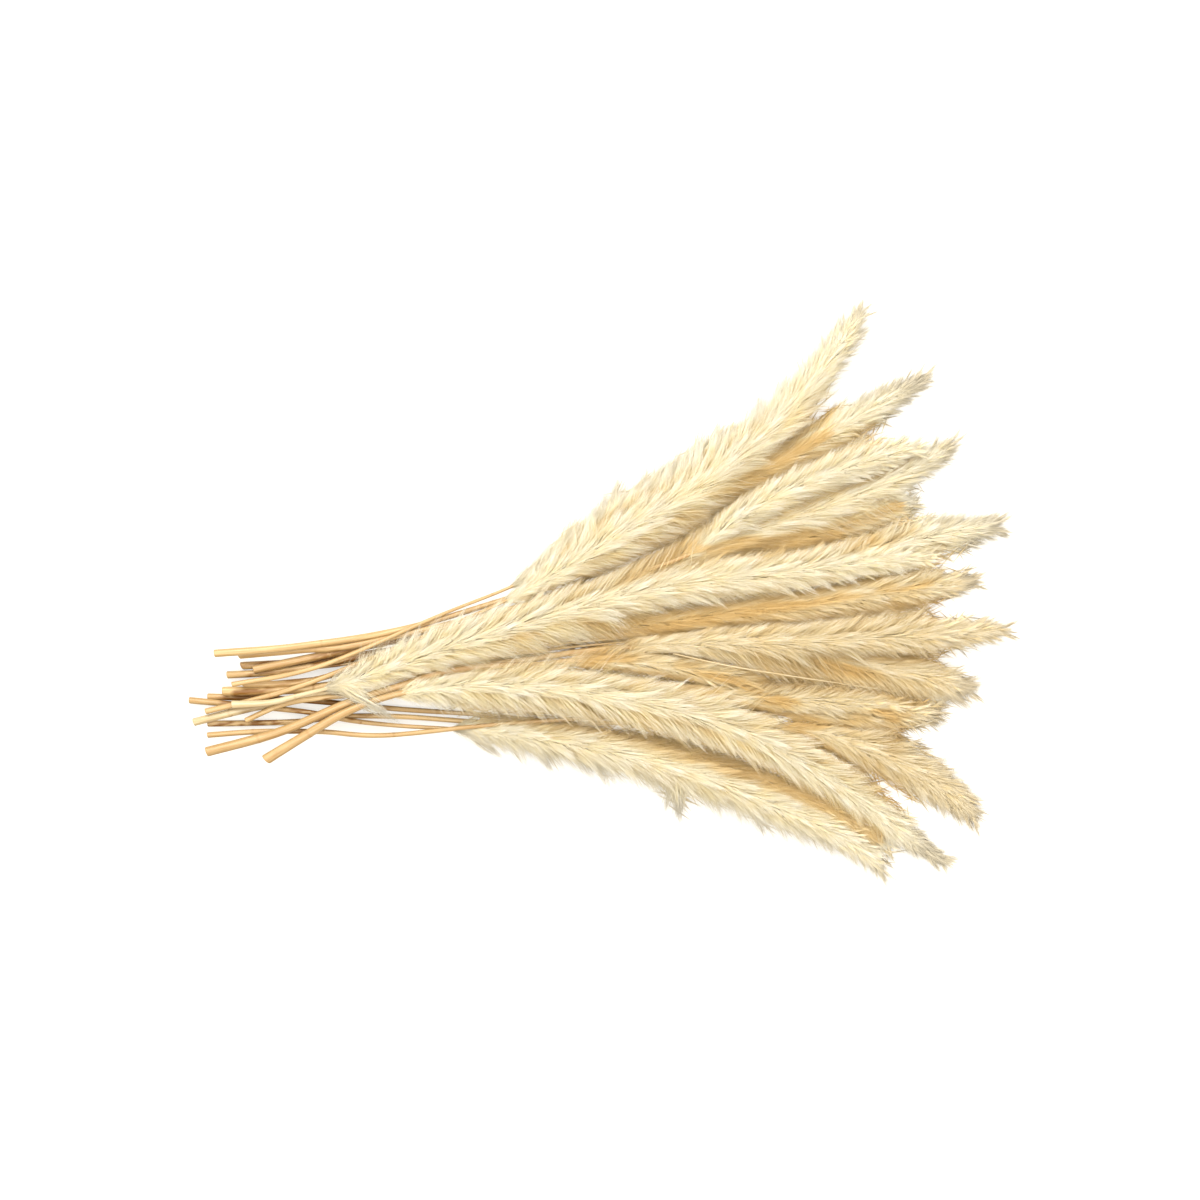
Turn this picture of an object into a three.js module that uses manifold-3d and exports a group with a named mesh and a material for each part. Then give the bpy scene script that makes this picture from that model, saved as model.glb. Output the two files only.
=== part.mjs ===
// A loose bunch of dried pampas plumes, cut and laid down on a flat surface.
// Millimetres, +Z up. The cut ends of the stalks point to -X and the plumes fan out to +X.
// The origin lies on the surface, in the middle of the bunch's footprint.
import * as THREE from 'three';
import { mergeVertices } from 'three/addons/utils/BufferGeometryUtils.js';
import Module from 'manifold-3d';

const wasm = await Module();
wasm.setup();

// Driving dimensions, in millimetres unless the name says share.
const clearance = 0.35; // air between one solid and the next
const stationStep = 2; // spacing of the points that a stalk's height is worked out at
const curveDivisions = 600; // how finely a route's length is measured
const culmTaperShare = 0.56; // a culm's thickness under its plume, to that of its cut end
const culmSides = 6;
const culmRingStep = 24;
const sheathThickness = 0.4; // of the dry leaf sheath that some culms still wear at the cut end
const furStartShare = 0.55; // the fur's width where a plume begins, to its full width
const furOpeningShare = 0.3; // the stretch of a plume in which the fur opens to its full width
const furTipPower = 8; // a higher power keeps the fur full for longer before it closes to the tip
const furTipRound = 0.75; // a lower power rounds the fur's end, a higher one sharpens it
const coreShare = 0.43; // half the width of the dense middle of a plume, to its fur's
const coreSides = 8;
const leastCore = 0.6;
const sagRate = 0.0003; // how far an end hangs down at most, per square millimetre of overhang
const facetShare = 0.96; // how near solids with flat facets come, to round ones
const coreRings = [0.025, 0.1, 0.2, 0.32, 0.44, 0.56, 0.68, 0.79, 0.88, 0.95]; // shares of a plume
const flatSpotDepth = 0.6; // how much of a core is pressed flat where it lies on the surface
const lockStep = 5; // spacing of the locks of fur along a plume
const lockTurn = THREE.MathUtils.degToRad(137.5); // from each lock to the next, round the plume
const lockSideBias = 0.15; // how strongly the locks gather at the plume's two sides
const lockRunShare = 1.45; // how far a lock sweeps forward, to the fur's width
const lockWidthShare = 0.56; // half a lock's width at its root, to the core's half width
const lockLeastHalfWidth = 0.9;
const lockThicknessShare = 0.6; // a lock's thickness, to its width
const lockJitter = 0.15; // how far a lock may turn either way from its place, in radians
const lockFullness = [0.88, 1.08]; // how far out a lock's tip stands, to the fur's width there
const lastLockShare = 0.6; // the last lock's distance from the plume's end, to the fur's width
const lockRootShare = 0.55; // how far a lock's root lies from the centre line, to the core's half width
const slimTries = [1, 0.65]; // where a neighbour is in the way a lock is tried slimmer,
const shortTries = [1, 0.7, 0.5]; // shorter
const leanTries = [1, 0.75, 0.5, 0.3]; // and closer to its core
const clearChecks = [0.35, 0.65, 1]; // shares of a lock's length that are kept clear of neighbours
const flatShare = 0.74; // a plume's height, to its width
const tipOverhang = 2; // how far the last locks stand out past a plume's end and from its centre

// The stalks in the order they are laid, from the lowest up: thickness of the cut end, half the
// width of the full fur, the point of the route where the plume begins, how far the sheath reaches
// where there is one, and the route as seen from above, from the cut end to the tip of the plume.
const stalks = [
  { name: '01', cut: 3.0, fur: 13, plumeFrom: 5,
    route: [[-217, -60], [-165, -62], [-110, -67], [-66, -70], [-22, -75], [11, -82],
      [55, -96], [99, -111], [132, -127], [162, -144]] },
  { name: '02', cut: 2.8, fur: 15.5, plumeFrom: 7,
    route: [[-217, -75], [-170, -74], [-143, -71], [-110, -71], [-66, -74], [-22, -75],
      [44, -74], [105, -77], [133, -84], [161, -95], [188, -110], [210, -128]] },
  { name: '03', cut: 3.0, fur: 15.5, plumeFrom: 4,
    route: [[-227, -62], [-165, -68], [-138, -73], [-110, -76], [-76, -78], [-44, -81],
      [-11, -86], [22, -94], [55, -104], [88, -117], [116, -129], [139, -141], [158, -157]] },
  { name: '04', cut: 2.6, fur: 10.5, plumeFrom: 6,
    route: [[-216, -81], [-187, -79], [-154, -79], [-118, -81], [-55, -75], [55, -68],
      [105, -70], [154, -70], [189, -68]] },
  { name: '05', cut: 3.6, fur: 13, plumeFrom: 6,
    route: [[-198, -43], [-165, -41], [-132, -37], [-88, -29], [-33, -14], [22, 4],
      [77, 22], [99, 26], [132, 36], [175, 50]] },
  { name: '06', cut: 4.4, fur: 16.5, plumeFrom: 7, sheathEnd: 28,
    route: [[-224, -74], [-196, -67], [-170, -62], [-138, -55], [-99, -46], [-66, -40],
      [0, -35], [44, -33], [77, -34], [110, -37], [143, -42], [176, -48], [209, -57]] },
  { name: '07', cut: 3.4, fur: 13, plumeFrom: 7,
    route: [[-206, -48], [-176, -46], [-143, -40], [-99, -31], [-44, -18], [11, -5],
      [77, 9], [121, 15], [154, 22], [187, 29], [224, 35]] },
  { name: '08', cut: 3.9, fur: 16.5, plumeFrom: 4,
    route: [[-191, -45], [-138, -34], [-99, -26], [-55, -16], [0, 0], [50, 18],
      [88, 34], [121, 44], [153, 57], [181, 71], [198, 81]] },
  { name: '09', cut: 3.6, fur: 13, plumeFrom: 5,
    route: [[-199, -37], [-165, -34], [-132, -31], [-55, -13], [0, 2], [50, 19],
      [74, 38], [105, 54], [132, 65], [154, 72], [177, 78]] },
  { name: '10', cut: 3.6, fur: 14.5, plumeFrom: 4,
    route: [[-212, -36], [-165, -32], [-110, -23], [-55, -7], [-8, 9], [26, 30],
      [63, 52], [99, 70], [131, 88], [159, 104], [183, 118]] },
  { name: '11', cut: 2.6, fur: 10.5, plumeFrom: 6,
    route: [[-195, -73], [-174, -64], [-148, -60], [-110, -58], [-66, -56], [-22, -55],
      [22, -56], [55, -58], [88, -61], [121, -63], [169, -65]] },
  { name: '12', cut: 4.4, fur: 14, plumeFrom: 6,
    route: [[-208, -57], [-170, -56], [-143, -53], [-99, -47], [-44, -40], [-11, -35],
      [22, -32], [66, -30], [110, -29], [154, -27], [227, -23]] },
  { name: '13', cut: 3.0, fur: 15.5, plumeFrom: 5,
    route: [[-196, -53], [-165, -52], [-140, -46], [-99, -37], [-44, -29], [0, -23],
      [38, -18], [77, -13], [110, -9], [143, -4], [176, 0], [210, 4]] },
  { name: '14', cut: 4.6, fur: 11, plumeFrom: 7,
    route: [[-216, -90], [-176, -79], [-138, -63], [-110, -54], [-88, -47], [-61, -43],
      [-33, -42], [-14, -40], [22, -41], [55, -46], [95, -54]] },
  { name: '15', cut: 2.4, fur: 15, plumeFrom: 3,
    route: [[-202, -53], [-154, -43], [-88, -15], [-44, 3], [-15, 21], [15, 40],
      [45, 60], [86, 92]] },
  { name: '16', cut: 2.8, fur: 16.5, plumeFrom: 3,
    route: [[-217, -68], [-165, -54], [-88, -23], [-48, -5], [-16, 13], [16, 33],
      [51, 53], [79, 75], [104, 98], [126, 126], [146, 155]] },
  { name: '17', cut: 4.9, fur: 18, plumeFrom: 4,
    route: [[-183, -94], [-165, -83], [-143, -70], [-124, -62], [-105, -57], [-77, -54],
      [-44, -54], [-11, -57], [22, -63], [55, -71], [82, -81], [110, -96], [138, -114],
      [165, -134], [193, -153]] },
  { name: '18', cut: 4.4, fur: 17.5, plumeFrom: 3, sheathEnd: 2,
    route: [[-202, -64], [-182, -63], [-165, -59], [-146, -54], [-121, -46], [-88, -34],
      [-55, -24], [-22, -14], [11, -5], [44, 2], [77, 6], [110, 10], [143, 14], [184, 17]] },
];

// The plumes that dried to a browner tone than the rest.
const beigePlumes = ['02', '04', '06', '11', '12', '13', '14'];

function makeMaterial(color, roughness) {
  return new THREE.MeshStandardMaterial({ color, roughness, metalness: 0 });
}

const straw = makeMaterial('#e3c38a', 0.55);
const sheathedStraw = makeMaterial('#e4d2ae', 0.65);
const ivoryFur = makeMaterial('#f3e5c0', 0.9);
const beigeFur = makeMaterial('#e6d2a8', 0.9);

// A repeatable stream of numbers between 0 and 1.
function seededStream(seed) {
  let state = seed;
  return () => {
    state = (Math.imul(state, 1664525) + 1013904223) >>> 0;
    return state / 4294967296;
  };
}

// The fur's half width at a share of the plume's length: it opens, stays full and closes to a tip.
function furAt(stalk, share) {
  const open = THREE.MathUtils.smoothstep(share, 0, furOpeningShare);
  const width = stalk.fur * (furStartShare + (1 - furStartShare) * open);
  return width * (1 - Math.min(share, 1) ** furTipPower) ** furTipRound;
}

// How far along its plume a length from the cut end lies: 0 where the fur begins, 1 at the tip.
function plumeShare(stalk, reach) {
  return (reach - stalk.plumeStart) / (stalk.length - stalk.plumeStart);
}

function culmRadiusAt(stalk, reach) {
  const taper = 1 - (1 - culmTaperShare) * Math.min(reach / stalk.plumeStart, 1);
  const bare = stalk.sheathEnd && reach > stalk.sheathEnd ? sheathThickness : 0;
  return (stalk.cut / 2) * taper - bare;
}

// A stalk's route as evenly spaced stations, with the half width of its culm or core at each.
function measureStalk(stalk) {
  const curve = new THREE.SplineCurve(stalk.route.map(([x, y]) => new THREE.Vector2(x, y)));
  curve.arcLengthDivisions = curveDivisions;
  const lengths = curve.getLengths();
  const knot = Math.round((stalk.plumeFrom / (stalk.route.length - 1)) * curveDivisions);
  stalk.plumeStart = lengths[knot];
  stalk.length = curve.getLength();
  const steps = Math.round(stalk.length / stationStep);
  stalk.plan = curve.getSpacedPoints(steps);
  stalk.reach = stalk.plan.map((_, i) => (stalk.length * i) / steps);
  stalk.share = stalk.reach.map((s) => plumeShare(stalk, s));
  stalk.solid = stalk.share.map((share, i) => (share < 0
    ? culmRadiusAt(stalk, stalk.reach[i]) : Math.max(coreShare * furAt(stalk, share), leastCore)));
  stalk.flatness = stalk.share.map((share) => (share < 0 ? 1 : flatShare));
}

// The least height of each station that clears the surface and every stalk already laid.
function heightsNeeded(stalk, laid) {
  return stalk.plan.map((place, i) => {
    const halfHeight = stalk.solid[i] * stalk.flatness[i];
    let height = halfHeight - (stalk.share[i] < 0 ? 0 : flatSpotDepth);
    for (const other of laid) {
      other.plan.forEach((crossing, j) => {
        const reach = facetShare * (stalk.solid[i] + other.solid[j]) + clearance;
        const across = place.distanceTo(crossing) / reach;
        if (across >= 1) return;
        const above = facetShare * (halfHeight + other.solid[j] * other.flatness[j]) + clearance;
        height = Math.max(height, other.height[j] + above * Math.sqrt(1 - across ** 2));
      });
    }
    return height;
  });
}

// A stalk lies as a stiff rod: of all pairs of supports on either side of the middle of its length,
// it rests on the pair that holds the middle highest. Past them its two ends hang down.
function layStalk(stalk, laid) {
  const need = heightsNeeded(stalk, laid);
  const middle = stalk.length / 2;
  let best = { height: -Infinity };
  stalk.reach.forEach((a, i) => {
    if (a >= middle) return;
    stalk.reach.forEach((b, j) => {
      if (b < middle) return;
      const slope = (need[j] - need[i]) / (b - a);
      const height = need[i] + slope * (middle - a);
      if (height > best.height) best = { height, slope, supports: [a, b] };
    });
  });
  stalk.height = stalk.reach.map((s) => best.height + best.slope * (s - middle));
  hangDown(stalk, need, best.supports[0], 0);
  hangDown(stalk, need, best.supports[1], stalk.length);
  stalk.axis = stalk.plan.map((place, i) => new THREE.Vector3(place.x, place.y, stalk.height[i]));
}

// An end sags past its support as far as it bends, or until it meets what lies below it.
function hangDown(stalk, need, support, end) {
  const overhang = Math.abs(end - support);
  const bend = stalk.reach.map((s) => Math.max((s - support) / (end - support || 1), 0) ** 2);
  let sag = sagRate * overhang ** 2;
  bend.forEach((share, i) => {
    if (share > 0) sag = Math.min(sag, (stalk.height[i] - need[i]) / share);
  });
  stalk.height = stalk.height.map((height, i) => height - sag * bend[i]);
}

// The centre line at a length from the cut end, with the directions across, along and up from it.
function frameAt(stalk, reach) {
  const last = stalk.axis.length - 1;
  const at = THREE.MathUtils.clamp((reach / stalk.length) * last, 0, last);
  const low = Math.min(Math.floor(at), last - 1);
  const before = stalk.axis[Math.max(low - 1, 0)];
  const after = stalk.axis[Math.min(low + 2, last)];
  const along = after.clone().sub(before).normalize();
  const centre = stalk.axis[low].clone().lerp(stalk.axis[low + 1], at - low);
  centre.addScaledVector(along, reach > stalk.length ? reach - stalk.length : 0);
  const across = new THREE.Vector3().crossVectors(along, new THREE.Vector3(0, 0, 1)).normalize();
  return { centre, across, along, up: across.clone().cross(along) };
}

// Carries a shape that was made round the Y axis over to a stalk's centre line.
function bendAlong(geometry, stalk, flatness = 1) {
  const place = geometry.getAttribute('position');
  for (let i = 0; i < place.count; i += 1) {
    const { centre, across, up } = frameAt(stalk, place.getY(i));
    centre.addScaledVector(across, place.getX(i)).addScaledVector(up, place.getZ(i) * flatness);
    place.setXYZ(i, centre.x, centre.y, centre.z);
  }
  return geometry;
}

function toSolid(geometry) {
  geometry.deleteAttribute('normal');
  geometry.deleteAttribute('uv');
  const merged = mergeVertices(geometry, 1e-5);
  const index = merged.getIndex().array;
  const corners = [];
  for (let i = 0; i < index.length; i += 3) {
    const [a, b, c] = [index[i], index[i + 1], index[i + 2]];
    if (a !== b && b !== c && c !== a) corners.push(a, b, c);
  }
  return new wasm.Manifold(new wasm.Mesh({
    numProp: 3,
    vertProperties: new Float32Array(merged.getAttribute('position').array),
    triVerts: new Uint32Array(corners),
  }));
}

function toGeometry(solid) {
  const { vertProperties, triVerts } = solid.getMesh();
  const geometry = new THREE.BufferGeometry();
  geometry.setAttribute('position', new THREE.BufferAttribute(new Float32Array(vertProperties), 3));
  geometry.setIndex(new THREE.BufferAttribute(new Uint32Array(triVerts), 1));
  geometry.computeVertexNormals();
  return geometry;
}

// A culm tapers from its cut end to its plume; some still wear a short sheath at the cut end.
function makeCulm(stalk) {
  const top = stalk.plumeStart - clearance;
  const rings = Math.ceil(top / culmRingStep);
  const reaches = Array.from({ length: rings + 1 }, (_, i) => (top * i) / rings);
  if (stalk.sheathEnd) reaches.push(stalk.sheathEnd, stalk.sheathEnd + sheathThickness);
  reaches.sort((a, b) => a - b);
  const profile = reaches.map((reach) => new THREE.Vector2(culmRadiusAt(stalk, reach), reach));
  profile.unshift(new THREE.Vector2(0, 0));
  profile.push(new THREE.Vector2(0, top));
  return bendAlong(new THREE.LatheGeometry(profile, culmSides), stalk);
}

// The dense middle of a plume, as thick as the culm where it meets it.
function makeCore(stalk) {
  const plumeLength = stalk.length - stalk.plumeStart;
  const start = culmRadiusAt(stalk, stalk.plumeStart);
  const profile = [new THREE.Vector2(0, stalk.plumeStart), new THREE.Vector2(start, stalk.plumeStart)];
  for (const share of coreRings) {
    const reach = stalk.plumeStart + share * plumeLength;
    profile.push(new THREE.Vector2(coreShare * furAt(stalk, share), reach));
  }
  profile.push(new THREE.Vector2(0, stalk.length));
  return bendAlong(new THREE.LatheGeometry(profile, coreSides), stalk, flatShare);
}

// How far a point is from a stalk's culm or core, whose section is an ellipse.
function gapTo(point, stalk) {
  let nearest = Infinity;
  stalk.axis.forEach((station, i) => {
    const across = Math.hypot(point.x - station.x, point.y - station.y) / stalk.solid[i];
    const halfHeight = stalk.solid[i] * stalk.flatness[i];
    const outside = Math.hypot(across, (point.z - station.z) / halfHeight) - 1;
    nearest = Math.min(nearest, outside * halfHeight);
  });
  return nearest;
}

// A lock of fur keeps to the space that is nearer to its own stalk than to any other, and above
// the surface. Its own width shrinks towards its tip, so less room is asked for there.
function lockIsClear(stalk, root, tip, halfWidth) {
  return clearChecks.every((share) => {
    const point = root.clone().lerp(tip, share);
    const needed = 2 * halfWidth * (1 - share) + clearance;
    const own = gapTo(point, stalk);
    return stalks.every((other) => other === stalk || gapTo(point, other) - own >= needed);
  });
}

// One lock: a three-sided point from inside the core, swept forward and out to the fur's edge.
// The first of its shapes that is clear of its neighbours is kept.
function placeLock(stalk, reach, turn, fullness) {
  const fur = furAt(stalk, plumeShare(stalk, reach));
  const core = coreShare * fur;
  const outward = ({ across, up }) => across.clone().multiplyScalar(Math.cos(turn))
    .addScaledVector(up, Math.sin(turn) * flatShare);
  const from = frameAt(stalk, reach);
  const root = from.centre.clone().addScaledVector(outward(from), core * lockRootShare);
  for (const slim of slimTries) {
    for (const short of shortTries) {
      for (const lean of leanTries) {
        const tipReach = Math.min(reach + lockRunShare * fur * short, stalk.length + tipOverhang);
        const to = frameAt(stalk, tipReach);
        const tipFur = Math.max(furAt(stalk, plumeShare(stalk, tipReach)), tipOverhang);
        const rise = core + (tipFur * fullness - core) * short * lean;
        const tip = to.centre.clone().addScaledVector(outward(to), rise);
        const halfWidth = Math.max(lockWidthShare * core * slim, lockLeastHalfWidth);
        tip.z = Math.max(tip.z, clearance);
        if (lockIsClear(stalk, root, tip, halfWidth)) return { root, tip, halfWidth };
      }
    }
  }
  return null;
}

function makeLock({ root, tip, halfWidth }, centre) {
  const along = tip.clone().sub(root);
  const length = along.length();
  along.normalize();
  const outward = root.clone().sub(centre);
  const across = new THREE.Vector3().crossVectors(along, outward).normalize();
  const lock = new THREE.ConeGeometry(halfWidth, length, 3, 1).scale(1, 1, lockThicknessShare);
  const placed = new THREE.Matrix4().makeBasis(across, along, across.clone().cross(along));
  placed.setPosition(root.clone().lerp(tip, 0.5));
  return lock.applyMatrix4(placed);
}

const surface = new THREE.BoxGeometry(1000, 1000, 100).translate(0, 0, -50);
const belowSurface = toSolid(surface);

// A plume is its core and its locks in one solid, pressed flat where it lies on the surface.
function makePlume(stalk, random) {
  const pieces = [toSolid(makeCore(stalk))];
  const lastRoot = stalk.length - lastLockShare * stalk.fur;
  const [least, most] = lockFullness;
  let turn = random() * Math.PI * 2;
  for (let reach = stalk.plumeStart + lockStep; reach < lastRoot; reach += lockStep) {
    turn += lockTurn;
    const sideways = turn - lockSideBias * Math.sin(2 * turn) + lockJitter * (2 * random() - 1);
    const lock = placeLock(stalk, reach, sideways, least + (most - least) * random());
    if (lock) pieces.push(toSolid(makeLock(lock, frameAt(stalk, reach).centre)));
  }
  const whole = wasm.Manifold.union(pieces).subtract(belowSurface);
  const [largest] = whole.decompose().sort((a, b) => b.volume() - a.volume());
  return toGeometry(largest);
}

const bunch = new THREE.Group();
const laid = [];
for (const stalk of stalks) {
  measureStalk(stalk);
  layStalk(stalk, laid);
  laid.push(stalk);
}
const random = seededStream(7);
for (const stalk of stalks) {
  const stem = stalk.sheathEnd ? sheathedStraw : straw;
  const culm = new THREE.Mesh(toGeometry(toSolid(makeCulm(stalk))), stem);
  culm.name = `culm_${stalk.name}`;
  const fur = beigePlumes.includes(stalk.name) ? beigeFur : ivoryFur;
  const plume = new THREE.Mesh(makePlume(stalk, random), fur);
  plume.name = `plume_${stalk.name}`;
  bunch.add(culm, plume);
}

export default bunch;
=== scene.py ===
# A loose bunch of dried pampas plumes, laid down on a pale table and seen from straight above.
# Lengths are in millimetres while shapes are worked out, and in metres once they are meshes.
import math

import bpy
import numpy as np
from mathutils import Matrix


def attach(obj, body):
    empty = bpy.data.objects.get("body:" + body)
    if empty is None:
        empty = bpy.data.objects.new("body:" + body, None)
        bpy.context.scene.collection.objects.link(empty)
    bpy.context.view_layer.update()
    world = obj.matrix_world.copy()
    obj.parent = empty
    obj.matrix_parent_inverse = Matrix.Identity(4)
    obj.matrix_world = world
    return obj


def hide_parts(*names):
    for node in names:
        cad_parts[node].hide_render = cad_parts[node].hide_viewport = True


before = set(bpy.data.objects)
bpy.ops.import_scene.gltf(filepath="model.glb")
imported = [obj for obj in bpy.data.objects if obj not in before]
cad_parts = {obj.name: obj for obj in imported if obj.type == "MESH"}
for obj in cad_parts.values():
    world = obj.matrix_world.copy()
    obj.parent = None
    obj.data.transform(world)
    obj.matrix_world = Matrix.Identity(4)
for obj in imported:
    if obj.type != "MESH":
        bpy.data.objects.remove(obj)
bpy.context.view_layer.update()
mm = 0.001
goldenTurn = math.radians(137.5)

# ---- how the stalks lie: the same routes and the same rule of laying as the solids follow

laying = {
    "clearance": 0.35,  # air between one solid and the next
    "stationStep": 2.0,  # spacing of the points that a stalk's height is worked out at
    "curveDivisions": 600,  # how finely a route's length is measured
    "culmTaper": 0.56,  # a culm's thickness under its plume, to that of its cut end
    "sheathThickness": 0.4,
    "furStart": 0.55,  # the fur's width where a plume begins, to its full width
    "furOpening": 0.3,  # the stretch of a plume in which the fur opens to its full width
    "furTipPower": 8,  # it closes as (1 - share^8)^0.75
    "furTipRound": 0.75,
    "core": 0.43,  # half the width of a plume's dense middle, to its fur's
    "leastCore": 0.6,
    "sagRate": 0.0003,  # how far an end hangs down at most, per square millimetre of overhang
    "facets": 0.96,  # how near solids with flat facets come, to round ones
    "flatSpot": 0.6,  # how much of a core is pressed flat on the table
    "flatness": 0.74,  # a plume's height, to its width
}

# From the lowest up: thickness of the cut end, half the width of the full fur, the point of the
# route where the plume begins, how far the dry sheath reaches, and the route from the cut end to
# the tip of the plume, as seen from above.
stalkTable = [
    ("01", 3.0, 13, 5, 0, [(-217, -60), (-165, -62), (-110, -67), (-66, -70), (-22, -75), (11, -82),
     (55, -96), (99, -111), (132, -127), (162, -144)]),
    ("02", 2.8, 15.5, 7, 0, [(-217, -75), (-170, -74), (-143, -71), (-110, -71), (-66, -74),
     (-22, -75), (44, -74), (105, -77), (133, -84), (161, -95), (188, -110), (210, -128)]),
    ("03", 3.0, 15.5, 4, 0, [(-227, -62), (-165, -68), (-138, -73), (-110, -76), (-76, -78),
     (-44, -81), (-11, -86), (22, -94), (55, -104), (88, -117), (116, -129), (139, -141),
     (158, -157)]),
    ("04", 2.6, 10.5, 6, 0, [(-216, -81), (-187, -79), (-154, -79), (-118, -81), (-55, -75),
     (55, -68), (105, -70), (154, -70), (189, -68)]),
    ("05", 3.6, 13, 6, 0, [(-198, -43), (-165, -41), (-132, -37), (-88, -29), (-33, -14), (22, 4),
     (77, 22), (99, 26), (132, 36), (175, 50)]),
    ("06", 4.4, 16.5, 7, 28, [(-224, -74), (-196, -67), (-170, -62), (-138, -55), (-99, -46),
     (-66, -40), (0, -35), (44, -33), (77, -34), (110, -37), (143, -42), (176, -48), (209, -57)]),
    ("07", 3.4, 13, 7, 0, [(-206, -48), (-176, -46), (-143, -40), (-99, -31), (-44, -18), (11, -5),
     (77, 9), (121, 15), (154, 22), (187, 29), (224, 35)]),
    ("08", 3.9, 16.5, 4, 0, [(-191, -45), (-138, -34), (-99, -26), (-55, -16), (0, 0), (50, 18),
     (88, 34), (121, 44), (153, 57), (181, 71), (198, 81)]),
    ("09", 3.6, 13, 5, 0, [(-199, -37), (-165, -34), (-132, -31), (-55, -13), (0, 2), (50, 19),
     (74, 38), (105, 54), (132, 65), (154, 72), (177, 78)]),
    ("10", 3.6, 14.5, 4, 0, [(-212, -36), (-165, -32), (-110, -23), (-55, -7), (-8, 9), (26, 30),
     (63, 52), (99, 70), (131, 88), (159, 104), (183, 118)]),
    ("11", 2.6, 10.5, 6, 0, [(-195, -73), (-174, -64), (-148, -60), (-110, -58), (-66, -56),
     (-22, -55), (22, -56), (55, -58), (88, -61), (121, -63), (169, -65)]),
    ("12", 4.4, 14, 6, 0, [(-208, -57), (-170, -56), (-143, -53), (-99, -47), (-44, -40),
     (-11, -35), (22, -32), (66, -30), (110, -29), (154, -27), (227, -23)]),
    ("13", 3.0, 15.5, 5, 0, [(-196, -53), (-165, -52), (-140, -46), (-99, -37), (-44, -29),
     (0, -23), (38, -18), (77, -13), (110, -9), (143, -4), (176, 0), (210, 4)]),
    ("14", 4.6, 11, 7, 0, [(-216, -90), (-176, -79), (-138, -63), (-110, -54), (-88, -47),
     (-61, -43), (-33, -42), (-14, -40), (22, -41), (55, -46), (95, -54)]),
    ("15", 2.4, 15, 3, 0, [(-202, -53), (-154, -43), (-88, -15), (-44, 3), (-15, 21), (15, 40),
     (45, 60), (86, 92)]),
    ("16", 2.8, 16.5, 3, 0, [(-217, -68), (-165, -54), (-88, -23), (-48, -5), (-16, 13), (16, 33),
     (51, 53), (79, 75), (104, 98), (126, 126), (146, 155)]),
    ("17", 4.9, 18, 4, 0, [(-183, -94), (-165, -83), (-143, -70), (-124, -62), (-105, -57),
     (-77, -54), (-44, -54), (-11, -57), (22, -63), (55, -71), (82, -81), (110, -96),
     (138, -114), (165, -134), (193, -153)]),
    ("18", 4.4, 17.5, 3, 2, [(-202, -64), (-182, -63), (-165, -59), (-146, -54), (-121, -46),
     (-88, -34), (-55, -24), (-22, -14), (11, -5), (44, 2), (77, 6), (110, 10), (143, 14),
     (184, 17)]),
]
beigePlumes = ("02", "04", "06", "11", "12", "13", "14")  # those that dried to a browner tone


def unit(vectors):
    return vectors / np.linalg.norm(vectors, axis=-1, keepdims=True)


def smoothStep(x, low, high):
    share = np.clip((x - low) / (high - low), 0, 1)
    return share * share * (3 - 2 * share)


def openedFur(stalk, share):
    # half the width of the fur before it closes
    opened = smoothStep(share, 0, laying["furOpening"])
    return stalk["fur"] * (laying["furStart"] + (1 - laying["furStart"]) * opened)


def furAt(stalk, share):
    # half the width of the fur, as the solids have it
    closing = 1 - np.clip(share, 0, 1) ** laying["furTipPower"]
    return openedFur(stalk, share) * closing ** laying["furTipRound"]


def plumeShare(stalk, reach):
    return (reach - stalk["plumeStart"]) / stalk["plumeLength"]


def culmRadius(stalk, reach):
    taper = 1 - (1 - laying["culmTaper"]) * np.minimum(reach / stalk["plumeStart"], 1)
    bare = np.where((stalk["sheathEnd"] > 0) & (reach > stalk["sheathEnd"]), 1, 0)
    return stalk["cut"] / 2 * taper - bare * laying["sheathThickness"]


def routePoint(route, t):
    # uniform Catmull-Rom: a cubic through each pair of points, with half the chord of its
    # neighbours as slope, the end points counted twice
    last = len(route) - 1
    place = t * last
    low = np.minimum(np.floor(place).astype(int), last)
    w = (place - low)[:, None]
    p0, p1 = route[np.maximum(low - 1, 0)], route[low]
    p2, p3 = route[np.minimum(low + 1, last)], route[np.minimum(low + 2, last)]
    v0, v1 = (p2 - p0) / 2, (p3 - p1) / 2
    return (2 * p1 - 2 * p2 + v0 + v1) * w**3 + (3 * p2 - 3 * p1 - 2 * v0 - v1) * w**2 + v0 * w + p1


def measureStalk(name, cut, fur, plumeFrom, sheathEnd, route):
    route = np.array(route, float)
    divisions = laying["curveDivisions"]
    t = np.linspace(0, 1, divisions + 1)
    chords = np.linalg.norm(np.diff(routePoint(route, t), axis=0), axis=1)
    lengths = np.concatenate([[0], np.cumsum(chords)])
    stalk = {"name": name, "cut": cut, "fur": fur, "sheathEnd": sheathEnd, "length": lengths[-1]}
    stalk["plumeStart"] = lengths[round(plumeFrom / (len(route) - 1) * divisions)]
    stalk["plumeLength"] = stalk["length"] - stalk["plumeStart"]
    steps = round(lengths[-1] / laying["stationStep"])
    stalk["reach"] = np.linspace(0, lengths[-1], steps + 1)
    stalk["plan"] = routePoint(route, np.interp(stalk["reach"], lengths, t))
    share = plumeShare(stalk, stalk["reach"])
    core = np.maximum(laying["core"] * furAt(stalk, share), laying["leastCore"])
    stalk["inPlume"] = share >= 0
    stalk["solid"] = np.where(share < 0, culmRadius(stalk, stalk["reach"]), core)
    stalk["flatness"] = np.where(share < 0, 1, laying["flatness"])
    return stalk


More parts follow.
